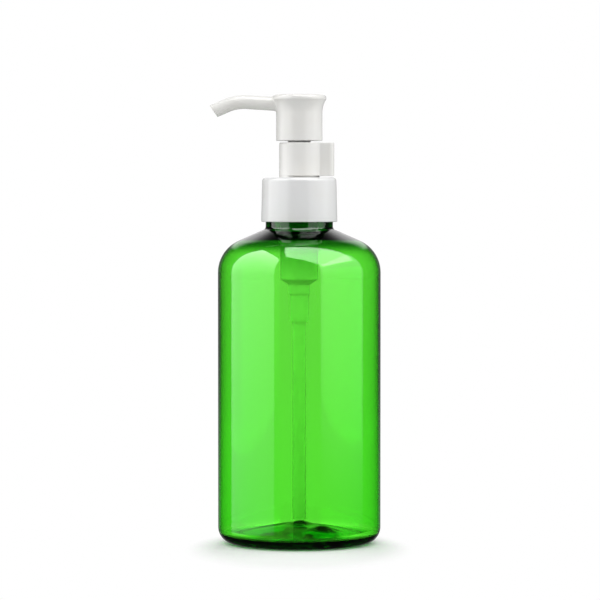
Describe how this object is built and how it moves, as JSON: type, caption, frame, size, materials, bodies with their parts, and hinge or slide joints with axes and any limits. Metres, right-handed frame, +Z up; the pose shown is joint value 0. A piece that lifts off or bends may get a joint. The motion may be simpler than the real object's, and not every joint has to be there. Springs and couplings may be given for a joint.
{
  "type": "pump bottle",
  "caption": "Round clear green bottle with a rounded shoulder, white screw closure, push pump with a bent spout and a clip that locks the head.",
  "frame": {"origin": "on the bottle's axis, in the plane of the ring it stands on", "axes": "+Z up along the bottle's axis; the spout points to -X and the clip's finger tab to +X"},
  "size_m": [0.0631, 0.06, 0.1655],
  "materials": {
    "green_pet": "clear green polyester, polished",
    "white_gloss": "white polypropylene, glossy as moulded",
    "white_soft": "foamed polyethylene, matt",
    "natural": "natural polyethylene, satin",
    "natural_clear": "natural clear polypropylene",
    "steel": "polished stainless steel"
  },
  "bodies": {
    "bottle": {"bottle": "green_pet"},
    "pump": {"guide_sleeve": "white_gloss", "pump_housing": "natural_clear", "ball_cage": "natural", "neck_gasket": "white_soft", "dip_tube": "natural_clear", "return_spring": "steel"},
    "closure": {"closure": "white_gloss"},
    "piston": {"piston": "natural"},
    "head": {"pump_head": "white_gloss", "stem": "white_gloss"},
    "outlet_ball": {"outlet_ball": "steel"},
    "inlet_ball": {"inlet_ball": "steel"},
    "lock_clip": {"lock_clip": "white_gloss"}
  },
  "joints": [
    {"name": "pump_lift", "type": "slide", "parent": "bottle", "child": "pump", "axis": [0, 0, 1], "range_m": [0, 0.135]},
    {"name": "closure_turn", "type": "hinge", "parent": "pump", "child": "closure", "pos_m": [0, 0, 0.125], "axis": [0, 0, 1], "range_deg": [0, 540]},
    {"name": "head_press", "type": "slide", "parent": "pump", "child": "piston", "axis": [0, 0, -1], "range_m": [0, 0.0115], "stiffness_N_per_m": 1000, "springref_m": -0.006, "deforming": ["return_spring"]},
    {"name": "head_turn", "type": "hinge", "parent": "piston", "child": "head", "pos_m": [0, 0, 0.14], "axis": [0, 0, 1], "continuous": true},
    {"name": "outlet_ball_lift", "type": "slide", "parent": "head", "child": "outlet_ball", "axis": [0, 0, 1], "range_m": [0, 0.001]},
    {"name": "inlet_ball_lift", "type": "slide", "parent": "pump", "child": "inlet_ball", "axis": [0, 0, 1], "range_m": [0, 0.0012]},
    {"name": "clip_pull", "type": "slide", "parent": "pump", "child": "lock_clip", "axis": [1, 0, 0], "range_m": [0, 0.045], "deforming": ["lock_clip"]}
  ],
  "couplings": [
    {"joint": "clip_pull", "follows": "head_press", "ratio": 3.9}
  ]
}
